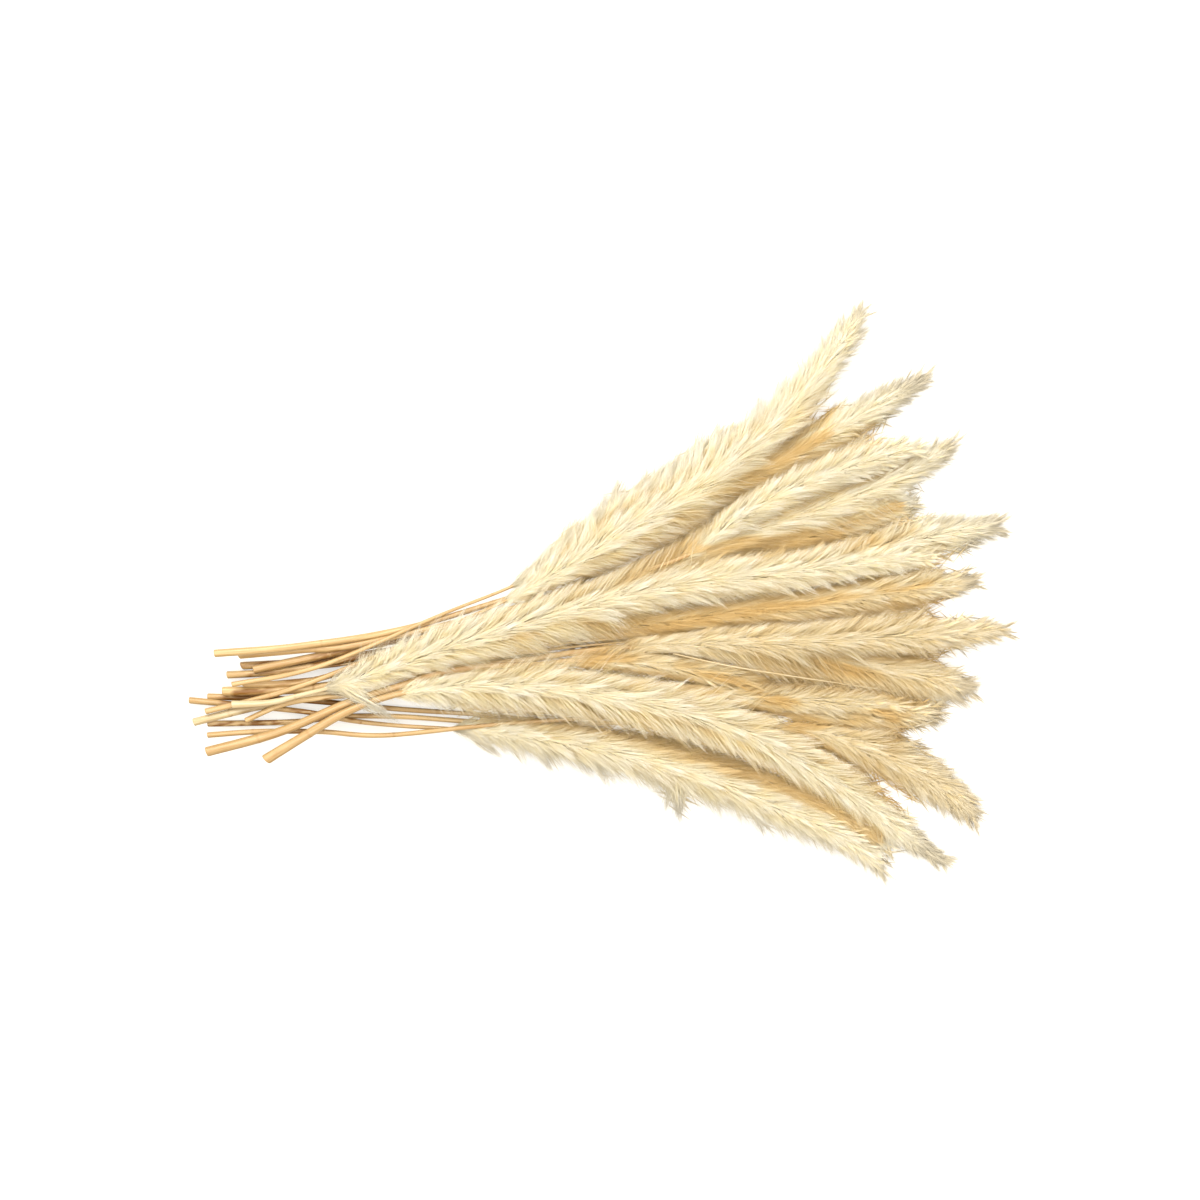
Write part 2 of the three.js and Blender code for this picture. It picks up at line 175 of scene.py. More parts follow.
def heightsNeeded(stalk, laid):
    # each station clears the table and, as an ellipse over an ellipse, every stalk laid before
    halfHeight = stalk["solid"] * stalk["flatness"]
    need = halfHeight - np.where(stalk["inPlume"], laying["flatSpot"], 0)
    for other in laid:
        apart = np.linalg.norm(stalk["plan"][:, None] - other["plan"][None], axis=2)
        reach = laying["facets"] * (stalk["solid"][:, None] + other["solid"]) + laying["clearance"]
        above = laying["facets"] * (halfHeight[:, None] + other["solid"] * other["flatness"])
        arch = np.sqrt(np.maximum(1 - (apart / reach) ** 2, 0))
        over = other["height"] + (above + laying["clearance"]) * arch
        need = np.maximum(need, np.where(apart < reach, over, -np.inf).max(1))
    return need


def hangDown(stalk, need, support, end):
    # past its support an end sags with the square of the overhang, until it meets what is below
    overhang = abs(end - support)
    bend = np.maximum((stalk["reach"] - support) / ((end - support) or 1), 0) ** 2
    sag = laying["sagRate"] * overhang**2
    room = (stalk["height"] - need)[bend > 0] / bend[bend > 0]
    stalk["height"] = stalk["height"] - min([sag, *room]) * bend


def layStalk(stalk, laid):
    # a stiff rod rests on the pair of supports that holds the middle of its length highest
    need = heightsNeeded(stalk, laid)
    reach, middle = stalk["reach"], stalk["length"] / 2
    a, b = np.flatnonzero(reach < middle), np.flatnonzero(reach >= middle)
    slope = (need[b][None] - need[a][:, None]) / (reach[b][None] - reach[a][:, None])
    lifted = need[a][:, None] + slope * (middle - reach[a][:, None])
    i, j = np.unravel_index(np.argmax(lifted), lifted.shape)
    stalk["height"] = lifted[i, j] + slope[i, j] * (reach - middle)
    hangDown(stalk, need, reach[a[i]], 0)
    hangDown(stalk, need, reach[b[j]], stalk["length"])
    stalk["axis"] = np.column_stack([stalk["plan"], stalk["height"]])


def frameAt(stalk, reach):
    # centre line with the directions along, across and up from it, at an array of reaches
    axis, stations = stalk["axis"], stalk["reach"]
    slope = np.gradient(axis, stations, axis=0)
    centre = np.stack([np.interp(reach, stations, axis[:, i]) for i in range(3)], -1)
    along = unit(np.stack([np.interp(reach, stations, slope[:, i]) for i in range(3)], -1))
    beyond = np.maximum(reach - stalk["length"], 0) + np.minimum(reach, 0)
    across = unit(np.cross(along, [0.0, 0.0, 1.0]))
    return centre + along * beyond[..., None], along, across, np.cross(across, along)


stalks = []
for row in stalkTable:
    stalk = measureStalk(*row)
    layStalk(stalk, stalks)
    stalks.append(stalk)
print("laid", len(stalks), "stalks")

# ---- mesh and material helpers


def linearColour(code):
    # "#rrggbb" as the linear colour that shaders work with
    parts = [int(code[i:i + 2], 16) / 255 for i in (1, 3, 5)]
    return tuple(p / 12.92 if p <= 0.04045 else ((p + 0.055) / 1.055) ** 2.4 for p in parts) + (1.0,)


def addObject(name, data):
    thing = bpy.data.objects.new(name, data)
    bpy.context.scene.collection.objects.link(thing)
    return thing


def makePiece(name, points, triangles, material, marks, openness=None, normals=None):
    # points in millimetres, triangles as rows of three, marks as four numbers for each point, and
    # how open it is to the sky as one, by which the straw's colour paints shade
    mesh = bpy.data.meshes.new(name)
    mesh.vertices.add(len(points))
    mesh.vertices.foreach_set("co", (points * mm).astype(np.float32).ravel())
    mesh.loops.add(triangles.size)
    mesh.loops.foreach_set("vertex_index", triangles.astype(np.int32).ravel())
    mesh.polygons.add(len(triangles))
    mesh.polygons.foreach_set("loop_start", np.arange(0, triangles.size, 3, dtype=np.int32))
    mesh.polygons.foreach_set("use_smooth", np.ones(len(triangles), bool))
    attribute = mesh.attributes.new("marks", "FLOAT_COLOR", "POINT")
    attribute.data.foreach_set("color", marks.astype(np.float32).ravel())
    if openness is not None:
        attribute = mesh.attributes.new("openness", "FLOAT", "POINT")
        attribute.data.foreach_set("value", openness.astype(np.float32))
    mesh.materials.append(material)
    mesh.update(calc_edges=True)
    if normals is not None:
        mesh.normals_split_custom_set_from_vertices(normals)
    return addObject(name, mesh)


def gridTriangles(rows, columns):
    # two triangles for each cell of a grid whose columns run round and whose rows run along
    i, j = np.meshgrid(np.arange(rows - 1), np.arange(columns), indexing="ij")
    k = (j + 1) % columns
    a, b, c, d = i * columns + j, i * columns + k, (i + 1) * columns + k, (i + 1) * columns + j
    return np.concatenate([np.stack([a, b, c], -1).reshape(-1, 3), np.stack([a, c, d], -1).reshape(-1, 3)])


def turnsOf(sides):
    return np.arange(sides) / sides * 2 * math.pi


def closedTube(points, ends):
    # rows of rings of points, with a fan of triangles from the first and the last ring to an end each
    rows, sides = points.shape[:2]
    ring = np.arange(sides)
    after = np.roll(ring, -1)
    first = np.column_stack([after, ring, np.full(sides, rows * sides)])
    last = np.column_stack([ring, after, np.full(sides, sides + 1)]) + (rows - 1) * sides
    triangles = np.concatenate([gridTriangles(rows, sides), first, last])
    return np.concatenate([points.reshape(-1, 3), ends]), triangles


class NodeTree:
    # a short way to add nodes to a material, a group or the world, and to link them
    def __init__(self, tree):
        self.tree = tree

    def feed(self, node, values):
        # each named input gets a link from a socket, or else a fixed value
        for key, value in values.items():
            if isinstance(value, bpy.types.NodeSocket):
                self.tree.links.new(value, node.inputs[key])
            else:
                node.inputs[key].default_value = value
        return node

    def add(self, kind, values=None, **settings):
        node = self.tree.nodes.new(kind)
        for key, value in settings.items():
            setattr(node, key, value)
        return self.feed(node, values or {})

    def math(self, operation, a, b=0.0, clamp=False):
        return self.add("ShaderNodeMath", {0: a, 1: b}, operation=operation, use_clamp=clamp).outputs[0]

    def times(self, a, b):
        return self.math("MULTIPLY", a, b)

    def mix(self, factor, a, b, blend="MIX"):
        node = self.add("ShaderNodeMix", data_type="RGBA", blend_type=blend, clamp_factor=True)
        return self.feed(node, {0: factor, 6: a, 7: b}).outputs[2]

    def range(self, value, low, high, toLow=0.0, toHigh=1.0):
        node = self.add("ShaderNodeMapRange", {0: value, 1: low, 2: high, 3: toLow, 4: toHigh})
        node.interpolation_type = "SMOOTHSTEP"
        return node.outputs[0]


def newMaterial(name):
    material = bpy.data.materials.new(name)
    material.use_nodes = True
    shader = material.node_tree.nodes["Principled BSDF"]
    return material, NodeTree(material.node_tree), shader


def readMarks(tree):
    marks = tree.add("ShaderNodeAttribute", attribute_name="marks").outputs
    split = tree.add("ShaderNodeSeparateColor", {0: marks["Color"]}).outputs
    return split[0], split[1], split[2], marks["Alpha"]


def makeDrift():
    # colour drifting between two tones over the bunch, in soft patches and in finer ones
    group = bpy.data.node_groups.new("toneDrift", "ShaderNodeTree")
    for name, kind in (("Colour", "NodeSocketColor"), ("Other", "NodeSocketColor"),
                       ("Scale", "NodeSocketFloat"), ("Amount", "NodeSocketFloat")):
        group.interface.new_socket(name, in_out="INPUT", socket_type=kind)
    group.interface.new_socket("Colour", in_out="OUTPUT", socket_type="NodeSocketColor")
    tree = NodeTree(group)
    inputs = tree.add("NodeGroupInput")
    place = tree.add("ShaderNodeTexCoord").outputs["Object"]
    noise = tree.add("ShaderNodeTexNoise", {"Vector": place, "Scale": inputs.outputs["Scale"],
                                            "Detail": 3.0, "Roughness": 0.6})
    patch = tree.range(noise.outputs["Fac"], 0.38, 0.66)
    factor = tree.times(patch, inputs.outputs["Amount"])
    colour = tree.mix(factor, inputs.outputs["Colour"], inputs.outputs["Other"])
    tree.add("NodeGroupOutput", {"Colour": colour})
    return group


toneDrift = makeDrift()


def drift(tree, colour, other, scale, amount):
    node = tree.add("ShaderNodeGroup", node_tree=toneDrift)
    return tree.feed(node, {"Colour": colour, "Other": other, "Scale": scale, "Amount": amount}).outputs[0]


# ---- the fur of the plumes

# the first colour of each look is the golden one of the roots, and also painted shade where the fur lies
# deep or in a valley; the last is painted shade on the thin fur round the bunch's outline
furLooks = {
    "ivory_fur": {"deep": "#DAB474", "body": "#E4D7B2", "tip": "#ECE7DA", "yellow": "#EAD698",
                  "outline": "#BEB49E"},
    "beige_fur": {"deep": "#CFA868", "body": "#DCC798", "tip": "#E4DBC6", "yellow": "#E2C78E",
                  "outline": "#B8AB92"},
}


def makeFurMaterial(name, looks):
    # marks: share of the way from root to tip, the lock's and the hair's own number, and how open
    # the place is to the sky, up to 1, or how near the outline of the bunch, from 1 to 2; by these
    # the colour paints shade, golden where the fur is shut in and grey near the outline
    material, tree, shader = newMaterial(name)
    colours = {key: linearColour(code) for key, code in looks.items()}
    toTip, lock, hair, openAndNear = readMarks(tree)
    openness = tree.math("MINIMUM", openAndNear, 1.0)
    outline = tree.math("SUBTRACT", openAndNear, 1.0, clamp=True)
    body = drift(tree, colours["body"], colours["yellow"], 75.0, 0.5)
    body = tree.mix(tree.range(lock, 0.55, 1.0, 0.0, 0.4), body, colours["yellow"])
    # painted shade: where the place is shut in from the sky, the fur takes the golden colour of its roots
    outer = tree.times(tree.range(openness, 0.0, 0.8), tree.range(toTip, 0.0, 0.3, 0.75, 1.0))
    outer = tree.math("MAXIMUM", outer, tree.range(hair, 0.4, 1.0, 0.0, 0.6))
    rooted = tree.mix(outer, colours["deep"], body)
    # the pale tips and the palest hairs show only where the fur is open to the sky: painted shade holds them
    # back where it is shut in
    tipAmount = tree.times(tree.range(toTip, 0.35, 0.9), tree.range(openness, 0.35, 1.0))
    tipAmount = tree.times(tipAmount, tree.range(lock, 0.0, 0.7, 1.0, 0.5))
    bright = tree.times(tree.range(hair, 0.8, 1.0), tree.range(openness, 0.3, 1.0))
    tipAmount = tree.math("MAXIMUM", tipAmount, bright)
    tipped = tree.mix(tipAmount, rooted, colours["tip"])
    # painted shade: the thin fur near the bunch's outline turns grey
    tipped = tree.mix(tree.times(outline, 0.85), tipped, colours["outline"])
    shade = tree.range(hair, 0.0, 0.85, 0.84, 1.0)
    grey = tree.add("ShaderNodeCombineColor", {0: shade, 1: shade, 2: shade}).outputs[0]
    tree.feed(shader, {"Base Color": tree.mix(1.0, tipped, grey, "MULTIPLY"),
                       "Roughness": tree.range(hair, 0.0, 1.0, 0.6, 0.8), "Specular IOR Level": 0.25,
                       "Sheen Weight": 0.2, "Sheen Roughness": 0.4})
    return material


furMaterials = {name: makeFurMaterial(name, looks) for name, looks in furLooks.items()}

territory = {
    "cell": 2.0,
    "low": np.array([-245.0, -175.0, -2.0]),
    "high": np.array([245.0, 175.0, 48.0]),
    "upperFavour": 0.8,  # a stalk laid later keeps more of the room between two, so it lies over
    "culmRoom": 1.4,
    "far": 9.0,
    "gapFull": 0.6,  # beyond this share of the half width of its fur, a plume leaves a gap open
    "gapSteps": 3,  # half the width of the gaps that the fur still fills, in cells
}


def mapTerritories():
    # for every cell, how far it is from each stalk, as a share of that stalk's own half width
    low, cell = territory["low"], territory["cell"]
    shape = np.ceil((territory["high"] - low) / cell).astype(int) + 1
    fields = np.full((len(stalks), *shape), territory["far"], np.float32)
    for field, stalk in zip(fields, stalks):
        share = plumeShare(stalk, stalk["reach"])
        culm = culmRadius(stalk, stalk["reach"]) * territory["culmRoom"]
        half = np.where(stalk["inPlume"], np.maximum(furAt(stalk, share), 2.0), culm)
        for centre, width, flat in zip(stalk["axis"], half, stalk["flatness"]):
            first = np.maximum(np.floor((centre - 2 * width - low) / cell).astype(int), 0)
            last = np.minimum(np.ceil((centre + 2 * width - low) / cell).astype(int) + 1, shape)
            x, y, z = [low[i] + cell * np.arange(first[i], last[i]) - centre[i] for i in range(3)]
            far = np.sqrt(x[:, None, None]**2 + y[None, :, None]**2 + (z[None, None] / flat)**2) / width
            part = field[first[0]:last[0], first[1]:last[1], first[2]:last[2]]
            np.minimum(part, far, out=part)
    return fields


def rivalField(fields, k):
    rivals = np.full(fields[0].shape, territory["far"], np.float32)
    for j, field in enumerate(fields):
        if j != k:
            favour = territory["upperFavour"] if j > k else 1 / territory["upperFavour"]
            np.minimum(rivals, field * favour, out=rivals)
    return rivals


def lookUp(field, points):
    index = np.rint((points - territory["low"]) / territory["cell"]).astype(int)
    index = np.clip(index, 0, np.array(field.shape) - 1)
    return field[index[..., 0], index[..., 1], index[..., 2]]


def neighbours(field):
    return [np.roll(field, step, axis) for axis in (0, 1) for step in (1, -1)]


def widen(mask, steps):
    for _ in range(steps):
        mask = np.logical_or.reduce([mask, *neighbours(mask)])
    return mask


def closeGaps(mask, steps):
    # what is covered, with the narrow places that widening and then thinning it closes
    return ~widen(~widen(mask, steps), steps)


def mapGaps(fields):
    # the narrow places between plumes, seen from above
    covered = (fields.min(0) < territory["gapFull"]).any(2)
    gaps = closeGaps(covered, territory["gapSteps"]) & ~covered
    return np.repeat(gaps[..., None], fields.shape[3], 2)


growth = {
    "hairsPerArea": 1.17,  # of the fur's outer surface, per square millimetre
    "mostHairs": 37500,
    "strandArea": 4.0,  # outer surface for each fine strand, in square millimetres
    "strandsPerLock": 8,
    "run": (1.1, 0.8, 1.2),  # how far a lock sweeps forward, to the fur's half width, and how it varies
    "leastRun": 10.0,  # the half width that counts for it at least
    "looseRun": (0.7, 1.5),  # the same for a hair that belongs to no lock
    "underRun": 0.6,  # and for under fur, to what it would be
    "fullness": (0.8, 1.13),  # how far out the locks' tips stand, to the fur's half width
    "looseFull": (0.8, 1.2),
    "underFull": (0.55, 0.8),
    "early": 7.0,  # how far before its plume the first fur grows, in millimetres
    "opening": (0.3, 8.0, 30.0),  # its share at first, and from how far before to how far after
    "openings": {"13": (0.75, 26.0, 4.0), "12": (0.5, 12.0, 14.0), "07": (0.6, 12.0, 12.0)},
    "lockJitter": (3.5, 0.4),  # of the locks, in millimetres along and in radians round
    "strandSpread": (3.2, 0.26, 0.1),  # of a lock's strands: along, round, and in fullness
    "strandDraw": 0.6,  # how far the strands' tips draw together to the lock's
    "rootSpread": (1.5, 0.12),  # of a strand's hairs, in millimetres along and in radians round
    "tipSpread": (2.4, 0.1),
    "shorter": (0.5, 1.4),  # by what share hairs are at most, and the power that keeps more of them long
    "free": 0.36,  # share of the hairs that are loose: they belong to no lock
    "under": 0.12,  # share of short under fur, loose too
    "rootOut": (0.2, 0.4),  # how far out the roots stand: to the fur's half width, and in millimetres
    "leastReach": 4.0,  # from a hair's root to its tip
    "droop": 0.8,  # of the tips at most, in millimetres
    "ring": 0.42,  # where along a hair its widest place is
    "width": (0.07, 0.16),  # half the width of a hair
    "toneShare": 0.65,  # of a hair's tone that its strand sets
    "brightWidth": 0.4,  # how much thicker the palest hairs are
    "thickness": 0.55,  # to its width
    "stretches": (1.9, 1.6, 1.3),  # tried first, by hairs that reach into a gap between plumes
    "mingling": 1.4,  # how far such a hair may reach into a neighbour's fur
    "tries": (1.0, 0.88, 0.76, 0.64, 0.52, 0.4),  # of how far out a tip stands, until it has room
    "tableGap": 0.15,  # the least height over the table
    "ceiling": (25.0, 6.5),  # height from which hairs lie flatter, and how much further they reach
    "ragged": (-2.0, 7.0),  # by how much the tips pass the plume's outline at its end
    "lastRoots": (10.0, 3.0),  # how far before a plume's end the last lock and loose hair are rooted
    "endRoots": 22.0,  # the last hairs' roots crowd up over this length before a plume's end
    "endRoom": 7.0,  # and keep this far from it
    "lessAtEnd": (8.0, 0.9),  # so far before it, their tips stand nearer the middle by this at most
    "before": 3.0,  # how far before a plume's end the tips begin to crowd up
    "tail": 6.0,  # how far the last hairs reach past a plume's end
    "tipPower": 5.5,  # the fur closes as (1 - share^5.5)^0.95
    "tipRound": 0.95,
    "leastWidth": 1.0,  # half the fur's width at least, in millimetres
}


def hairPoints(stalk, reach, turn, out):
    centre, along, across, up = frameAt(stalk, reach)
    outward = across * np.cos(turn)[..., None] + up * (np.sin(turn) * laying["flatness"])[..., None]
    return centre + outward * out[..., None], along, outward


def softLimit(values, start, room):
    # past the start they crowd up by 1 - exp(-x) and never go further than the room
    over = np.maximum(values - start, 0)
    return np.minimum(values, start) + room * (1 - np.exp(-over / room))


def endingAt(stalk, reach):
    # tips crowd up from a little before a plume's end, and never pass it by more than a tail's length
    return softLimit(reach, stalk["length"] - growth["before"], growth["before"] + growth["tail"])


def keepInside(root, tip, gap):
    # hairs stay over the table, and under the top of the room that the fur has
    for place in (root, tip):
        place[:, 2] = np.maximum(softLimit(place[:, 2], *growth["ceiling"]), gap)


def openingOf(stalk):
    return growth["openings"].get(stalk["name"], growth["opening"])


def brushAt(stalk, reach):
    # as furAt, but it opens gently from the bare culm and closes a tail's length after the end
    share = plumeShare(stalk, reach)
    past = 1 + growth["tail"] / stalk["plumeLength"]
    closing = 1 - np.clip(share / past, 0, 1) ** growth["tipPower"]
    low, early, late = openingOf(stalk)
    opening = low + (1 - low) * smoothStep(reach - stalk["plumeStart"], -early, late)
    width = openedFur(stalk, share) * opening * closing ** growth["tipRound"]
    return np.maximum(width, growth["leastWidth"])


def upwards(count):
    return np.tile([0.0, 0.0, 1.0], (count, 1))


def makeHairs(root, tip, outward, wide):
    # each hair is a long four-sided solid: its root, its tip, and two points a hair's width apart
    # over its widest place
    forward = unit(tip - root)
    side = unit(np.cross(outward, forward))
    crest = root + (tip - root) * growth["ring"]
    crest += np.cross(forward, side) * (wide * growth["thickness"])[:, None]
    side = side * wide[:, None]
    points = np.stack([root, crest + side, crest - side, tip], 1)
    corners = np.array([[3, 1, 2], [0, 2, 1], [0, 1, 3], [0, 3, 2]])
    triangles = (np.arange(len(root))[:, None, None] * 4 + corners[None]).reshape(-1, 3)
    return points.reshape(-1, 3), triangles


def hairMarks(toTip, lockTone, hairTone):
    # the first two may be one number for all hairs
    ring = growth["ring"]
    marks = np.ones((len(hairTone), 4, 4))
    marks[:, :, 0] = np.array([0, ring, ring, 1]) * np.reshape(toTip, (-1, 1))
    marks[:, :, 1] = np.reshape(lockTone, (-1, 1))
    marks[:, :, 2] = hairTone[:, None]
    return marks.reshape(-1, 4)


def fitTips(stalk, room, reach, turn, rootOut, tipOut, stretching):
    # how far out the tips stand, by the first share tried at which they are nearer to their own plume
    # than to another stalk. Those that may stretch try first to reach into a gap between plumes.
    own, rivals, gaps = room
    fit = np.full(len(reach), growth["tries"][-1])
    waiting = np.ones(len(reach), bool)
    for share in growth["stretches"] + growth["tries"]:
        tip = hairPoints(stalk, reach, turn, rootOut + (tipOut - rootOut) * share)[0]
        clear = waiting & (lookUp(own, tip) < lookUp(rivals, tip) * (growth["mingling"] if share > 1 else 1))
        if share > 1:
            clear &= lookUp(gaps, tip) & stretching
        fit[clear] = share
        waiting &= ~clear
    return rootOut + (tipOut - rootOut) * fit


def growFur(stalk, room, rng):
    # hairs gather in strands, and strands in pointed locks that sweep forward
    start, end, plumeLength = stalk["plumeStart"], stalk["length"], stalk["plumeLength"]
    area = 2 * math.pi * stalk["fur"] * plumeLength
    count = min(int(area * growth["hairsPerArea"]), growth["mostHairs"])
    strands = int(area / growth["strandArea"])
    locks = strands // growth["strandsPerLock"] + 1
    early = max(openingOf(stalk)[1] - 1, growth["early"])
    first = start - early
    lockReach = first + (np.arange(locks) + 0.5) / locks * (plumeLength + early - growth["lastRoots"][0])
    lockReach += rng.normal(0, growth["lockJitter"][0], locks)
    lockTurn = np.arange(locks) * goldenTurn + rng.normal(0, growth["lockJitter"][1], locks)
    lockFull = rng.uniform(*growth["fullness"], locks)
    lockRun = rng.uniform(*growth["run"][1:], locks) * growth["run"][0]
    lockTone = rng.random(locks)

    lock = np.arange(strands) // growth["strandsPerLock"]
    along, round_, fuller = growth["strandSpread"]
    strandShift = rng.normal(0, along, strands)
    strandTurn = lockTurn[lock] + rng.normal(0, round_, strands)
    strandFull = lockFull[lock] * (1 + rng.normal(0, fuller, strands))
    strandTone = rng.random(strands)

    owner = rng.integers(0, strands, count)
    ownLock = lock[owner]
    kind = rng.random(count)
    under = kind > 1 - growth["under"]
    loose = (kind < growth["free"]) | under
    anywhere = first + (plumeLength + early - growth["lastRoots"][1]) * rng.random(count)
    rootReach = lockReach[ownLock] + strandShift[owner] + rng.normal(0, growth["rootSpread"][0], count)
    rootReach = np.where(loose, anywhere, rootReach)
    rootReach = first + np.abs(rootReach - first)
    crowded = end - growth["endRoots"]
    rootReach = softLimit(rootReach, crowded, growth["endRoots"] - growth["endRoom"])
    rootTurn = strandTurn[owner] + rng.normal(0, growth["rootSpread"][1], count)
    rootTurn = np.where(loose, rng.uniform(0, 2 * math.pi, count), rootTurn)
    full = np.where(loose, rng.uniform(*growth["looseFull"], count), strandFull[owner])
    full = np.where(under, rng.uniform(*growth["underFull"], count), full)
    atEnd = smoothStep(rootReach, crowded, end - growth["lessAtEnd"][0])
    full = full * (1 - atEnd * rng.uniform(0, growth["lessAtEnd"][1], count))
    size = 1 - growth["shorter"][0] * rng.random(count) ** growth["shorter"][1]
    local = brushAt(stalk, rootReach)
    run = np.where(loose, rng.uniform(*growth["looseRun"], count), lockRun[ownLock])
    run = run * np.maximum(local, growth["leastRun"])
    run = np.where(under, growth["underRun"] * run, run * size)
    drawn = rootReach + (lockReach[ownLock] - rootReach) * np.where(loose, 0, growth["strandDraw"])
    tipReach = drawn + run + rng.normal(0, growth["tipSpread"][0], count)
    tipReach = np.maximum(endingAt(stalk, tipReach), rootReach + growth["leastReach"])
    tipTurn = strandTurn[owner] + (lockTurn[ownLock] - strandTurn[owner]) * growth["strandDraw"]
    tipTurn = np.where(loose, rootTurn + rng.normal(0, 0.15, count), tipTurn)
    tipTurn = tipTurn + rng.normal(0, 1, count) * growth["tipSpread"][1] * (1 + 2 * (1 - size))
    opened = smoothStep(rootReach, first, start + openingOf(stalk)[2])
    rootOut = growth["rootOut"][0] * local * opened + growth["rootOut"][1]
    tipOut = brushAt(stalk, tipReach - rng.uniform(*growth["ragged"], count)) * full
    tipOut = rootOut + np.maximum(tipOut - rootOut, 0.5) * np.where(loose, 1, size)

    tipOut = fitTips(stalk, room, tipReach, tipTurn, rootOut, tipOut, ~under)
    root, _, outward = hairPoints(stalk, rootReach, rootTurn, rootOut)
    tip = hairPoints(stalk, tipReach, tipTurn, tipOut)[0]
    tip[:, 2] -= growth["droop"] * rng.random(count)
    keepInside(root, tip, growth["tableGap"] + 0.6 * rng.random(count))
    hairTones = growth["toneShare"] * strandTone[owner] + (1 - growth["toneShare"]) * rng.random(count)
    wide = rng.uniform(*growth["width"], count) * np.where(loose, 0.8, 1)
    wide *= 1 + growth["brightWidth"] * (hairTones > 0.8)
    points, triangles = makeHairs(root, tip, outward, wide)
    tones = np.where(loose, rng.random(count), lockTone[ownLock])
    return points, triangles, hairMarks(np.where(under, 0.55, 1.0), tones, hairTones)


feathers = {
    "spacing": 1.8,  # along a plume, from one feather's root to the next
    "hairs": 44,  # of each feather
    "root": 0.3,  # how far out it leaves the fur, to the fur's half width
    "run": (0.7, 1.35),  # how far it sweeps forward, to the fur's half width
    "fullness": (1.05, 1.5),
    "width": (0.05, 0.11),  # half the width of a hair
    "along": 2.4,  # how far its roots scatter along the rachis, in millimetres
    "spread": 2.6,  # how far they stand apart at their roots
    "endSpikes": (30.0, 3.2),  # over this length before a plume's end, they stand out this much further
}

# tufts that stand out of the fur: where each ends as seen from above, its length, its width at the
# root, its number of hairs, and how far its end is lifted, if it is
tufts = {
    "03": [((44, -129), 30, 8, 300), ((36, -123), 24, 7, 200), ((91, -136), 24, 6, 200),
           ((-54, -94), 24, 5, 180), ((-26, -102), 24, 6, 200)],
    "06": [((205, -67), 26, 6, 240)],
    "08": [((176, 46), 26, 7, 240)],
    "15": [((10, 61), 28, 6, 300), ((4, 53), 24, 6, 200), ((-1, 47), 24, 5, 180),
           ((-11, 35), 22, 5, 160), ((-28, 19), 22, 5, 140), ((27, 62), 24, 6, 200)],
    "16": [((38, 70), 28, 6, 220), ((45, 74), 26, 6, 220), ((54, 84), 30, 6, 260),
           ((65, 91), 30, 6, 260), ((88, 107), 26, 7, 240), ((103, 118), 26, 7, 240),
           ((113, 125), 26, 7, 240), ((133, 151), 24, 6, 200), ((150, 144), 26, 7, 240),
           ((146, 156), 20, 5, 160)],
    "18": [((-109, -74), 40, 7, 230, 8)],
}

# how the hairs of a tuft, a feather or a spike differ: in length as a share of the whole, and how far
# they stand apart, to its width
bundles = {"longest": 1.06, "shorter": 0.62, "atRoot": 0.4, "atTip": 0.12, "whenShort": 0.6}


def growBundle(start, goal, width, widths, rng):
    # hairs from about their start towards their goal, some short and the shortest spread the most
    count = len(start)
    size = bundles["longest"] - bundles["shorter"] * rng.random(count)
    root = start + rng.normal(0, 1, (count, 3)) * width * bundles["atRoot"]
    tip = start + (goal - start) * size[:, None]
    spread = 0.3 + bundles["atTip"] * width + width * bundles["whenShort"] * (1 - size)
    tip += rng.normal(0, 1, (count, 3)) * spread[:, None]
    keepInside(root, tip, growth["tableGap"] + 0.3)
    return makeHairs(root, tip, upwards(count), rng.uniform(*widths, count))


def growTuft(stalk, rng, end, length, width, count, lift=0):
    # from the rachis, as far before the end as the tuft's length lets it, to a pointed end
    end = np.array(end, float)
    away = np.linalg.norm(stalk["axis"][:, :2] - end, axis=1)
    nearest = away.argmin()
    reach = stalk["reach"][nearest] - math.sqrt(max(length**2 - away[nearest]**2, 1))
    start = np.repeat(frameAt(stalk, np.array([reach]))[0], count, 0)
    goal = np.tile([*end, stalk["axis"][nearest, 2] + lift], (count, 1))
    hairs = growBundle(start, goal, width, growth["width"], rng)
    return *hairs, hairMarks(1, rng.random() * 0.6, rng.random(count))


def growFeathers(stalk, room, rng):
    # pale pointed feathers that stand out of the fur all round, each a bundle of strong hairs
    amount, count = int(stalk["plumeLength"] / feathers["spacing"]), feathers["hairs"]
    reach = stalk["plumeStart"] + np.linspace(0, stalk["plumeLength"] - 9, amount) + rng.normal(0, 2, amount)
    turn = np.arange(amount) * goldenTurn + rng.normal(0, 0.4, amount)
    local = brushAt(stalk, reach)
    ahead = endingAt(stalk, reach + rng.uniform(*feathers["run"], amount) * np.maximum(local, 9))
    out = brushAt(stalk, ahead) * rng.uniform(*feathers["fullness"], amount)
    before, further = feathers["endSpikes"]
    out += further * smoothStep(ahead, stalk["length"] - before, stalk["length"]) * rng.random(amount)
    out = fitTips(stalk, room, ahead, turn, 0.0, out, np.zeros(amount, bool))
    rootReach = np.repeat(reach, count) + rng.normal(0, feathers["along"], amount * count)
    rootTurn, rootOut = np.repeat(turn, count), np.repeat(feathers["root"] * local, count)
    start = hairPoints(stalk, rootReach, rootTurn, rootOut)[0]
    goal = np.repeat(hairPoints(stalk, ahead, turn, out)[0], count, 0)
    hairs = growBundle(start, goal, feathers["spread"], feathers["width"], rng)
    tones = np.repeat(rng.random(amount) * 0.5, count)
    return *hairs, hairMarks(1, tones, 0.3 + 0.7 * rng.random(amount * count))


spikes = {
    "amount": 54,  # short thin tufts that bristle around a plume's end
    "hairs": 12,  # of each tuft
    "from": (2.0, 48.0),  # where they are rooted, in millimetres before the end
    "out": 0.55,  # how far out, to the fur's half width
    "length": (8.0, 13.0),
    "slant": (0.3, 0.65),  # away from the plume's direction, in radians
    "width": 1.0,
}


